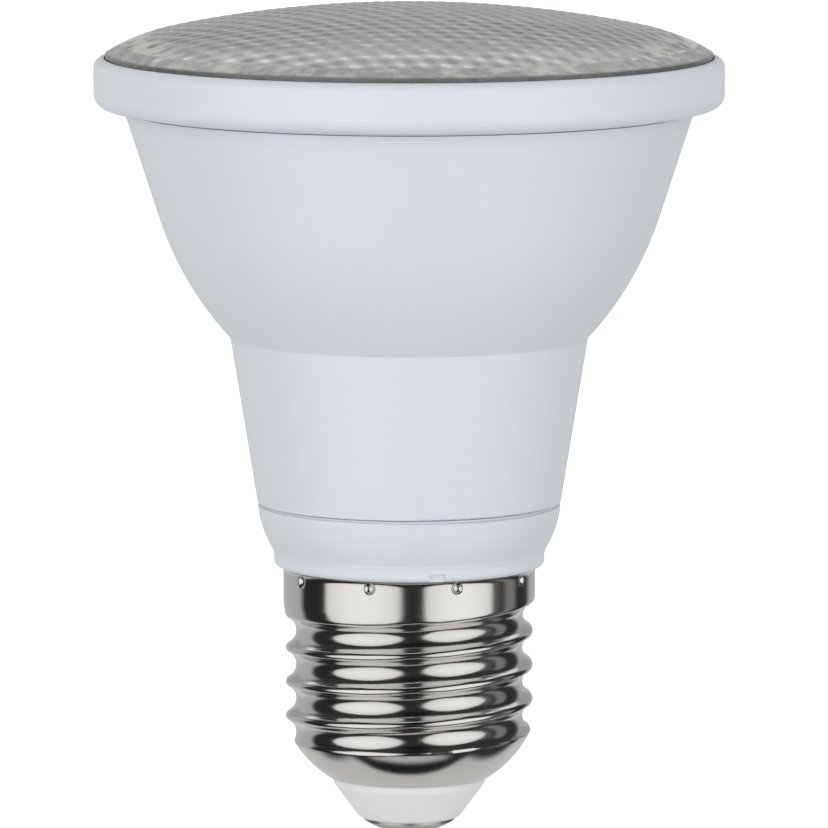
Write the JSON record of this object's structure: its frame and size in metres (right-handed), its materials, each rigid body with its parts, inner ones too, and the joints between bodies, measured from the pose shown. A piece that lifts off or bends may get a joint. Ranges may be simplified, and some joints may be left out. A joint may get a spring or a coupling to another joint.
{
  "type": "reflector lamp bulb",
  "caption": "Screw-cap reflector spotlight bulb: white bell body, patterned clear front lens, metal screw cap with centre contact.",
  "frame": {"origin": "middle of the centre contact's lowest face, on the bulb's axis", "axes": "+Z along the bulb's axis from the cap to the lens, -Y towards the viewer of the picture, +X to the right"},
  "size_m": [0.0662, 0.0662, 0.0875],
  "materials": {
    "nickel_shell": "polished nickel plate on brass",
    "nickel_contact": "satin nickel plate",
    "insulator_plastic": "smooth, slightly glossy",
    "white_plastic": "fine satin moulding",
    "clear_plastic": "clear moulding with small lenslets",
    "gasket_rubber": "soft white silicone",
    "heat_sink_metal": "pressed, plain",
    "thermal_pad_rubber": "soft grey silicone",
    "board_white": "white solder mask on aluminium",
    "source_plastic": "white moulding",
    "phosphor": "yellow silicone",
    "screw_steel": "zinc plate",
    "board_laminate": "green solder mask",
    "capacitor_sleeve": "shrunk sleeve",
    "ferrite": "bare ferrite",
    "copper_wire": "varnished copper",
    "capacitor_box": "moulded case",
    "chip_plastic": "moulded case",
    "resistor_coat": "cement coat",
    "lead_brown": "extruded insulation",
    "lead_blue": "extruded insulation",
    "lead_red": "extruded insulation",
    "lead_black": "extruded insulation"
  },
  "bodies": {
    "root": {"centre_contact": "nickel_contact", "cap_insulator": "insulator_plastic", "screw_shell": "nickel_shell", "cap_collar": "white_plastic", "reflector_housing": "white_plastic", "front_ring": "white_plastic", "lens_gasket": "gasket_rubber", "lens": "clear_plastic", "heat_sink": "heat_sink_metal", "thermal_pad": "thermal_pad_rubber", "led_board": "board_white", "led_packages": "source_plastic", "led_phosphor": "phosphor", "board_screws": "screw_steel", "driver_board": "board_laminate", "bulk_capacitor": "capacitor_sleeve", "small_capacitor": "capacitor_sleeve", "choke_core": "ferrite", "choke_winding": "copper_wire", "box_capacitor": "capacitor_box", "bridge_rectifier": "chip_plastic", "driver_chip": "chip_plastic", "fusible_resistor": "resistor_coat", "live_lead": "lead_brown", "neutral_lead": "lead_blue", "led_lead_positive": "lead_red", "led_lead_negative": "lead_black"}
  },
  "joints": []
}
